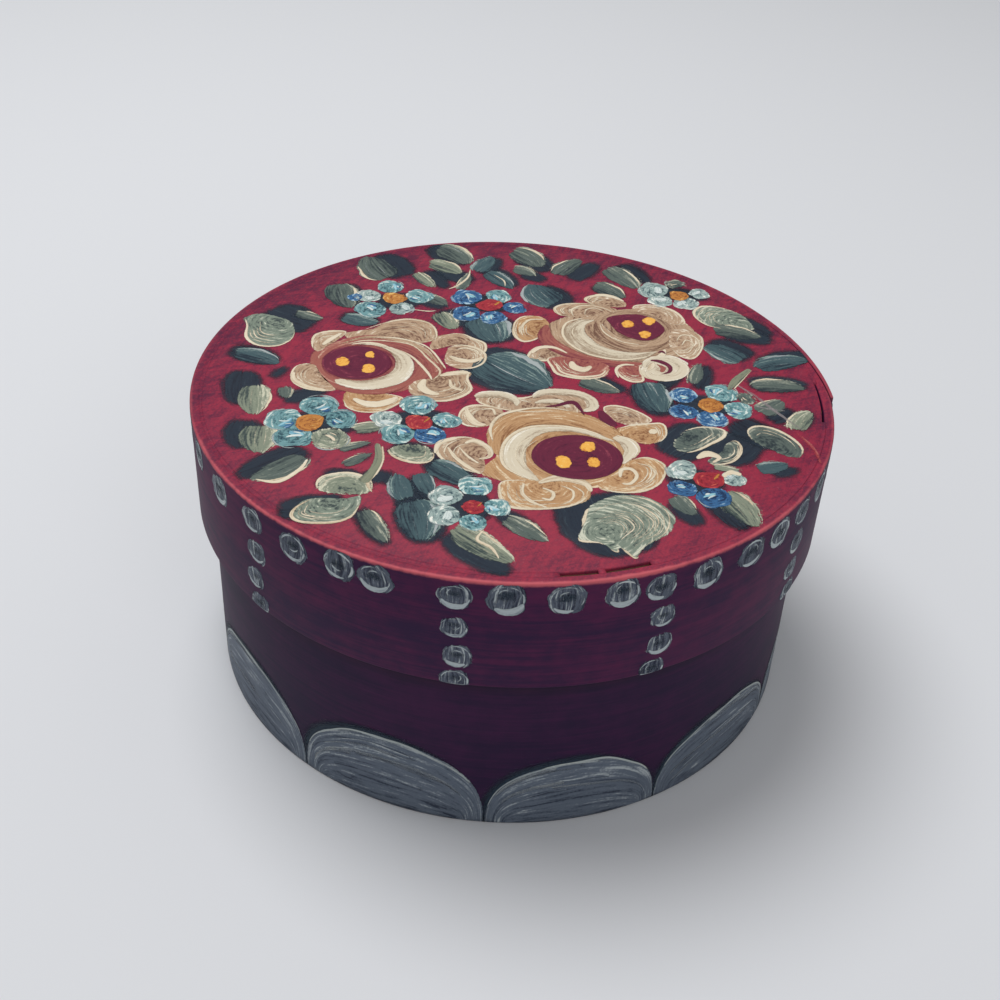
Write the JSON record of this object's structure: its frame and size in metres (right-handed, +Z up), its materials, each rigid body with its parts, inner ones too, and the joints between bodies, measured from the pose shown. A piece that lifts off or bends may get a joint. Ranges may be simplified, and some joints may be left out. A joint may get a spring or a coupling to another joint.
{
  "type": "round bentwood box",
  "caption": "Round lidded box of bent wood: a base with an upright wall and a lift-off lid whose band slides over it, painted with flowers, leaves, dots and scallops.",
  "frame": {"origin": "middle of the underside that the box stands on", "axes": "+Z up along the way the lid lifts off; +X towards the outer ends of the laps; -Y towards the viewer of the picture"},
  "size_m": [0.181, 0.18, 0.087],
  "materials": {
    "painted_lid_board": "red oil paint, satin",
    "painted_band": "dark maroon oil paint, satin",
    "bare_wood": "bare planed softwood, matte",
    "root": "split root, matte",
    "peg_wood": "whittled wood, matte",
    "brush_strokes": "raised oil paint strokes, satin"
  },
  "bodies": {
    "base": {"base_board": "bare_wood", "base_wall": "painted_band", "base_outer_stitches": "root", "base_inner_stitches": "root", "base_pegs": "peg_wood"},
    "lid": {"lid_board": "painted_lid_board", "lid_band": "painted_band", "lid_outer_stitches": "root", "lid_inner_stitches": "root", "lid_pegs": "peg_wood"}
  },
  "joints": [
    {"name": "lid_lift", "type": "slide", "parent": "base", "child": "lid", "axis": [0, 0, 1], "range_m": [0, 0.15]}
  ]
}
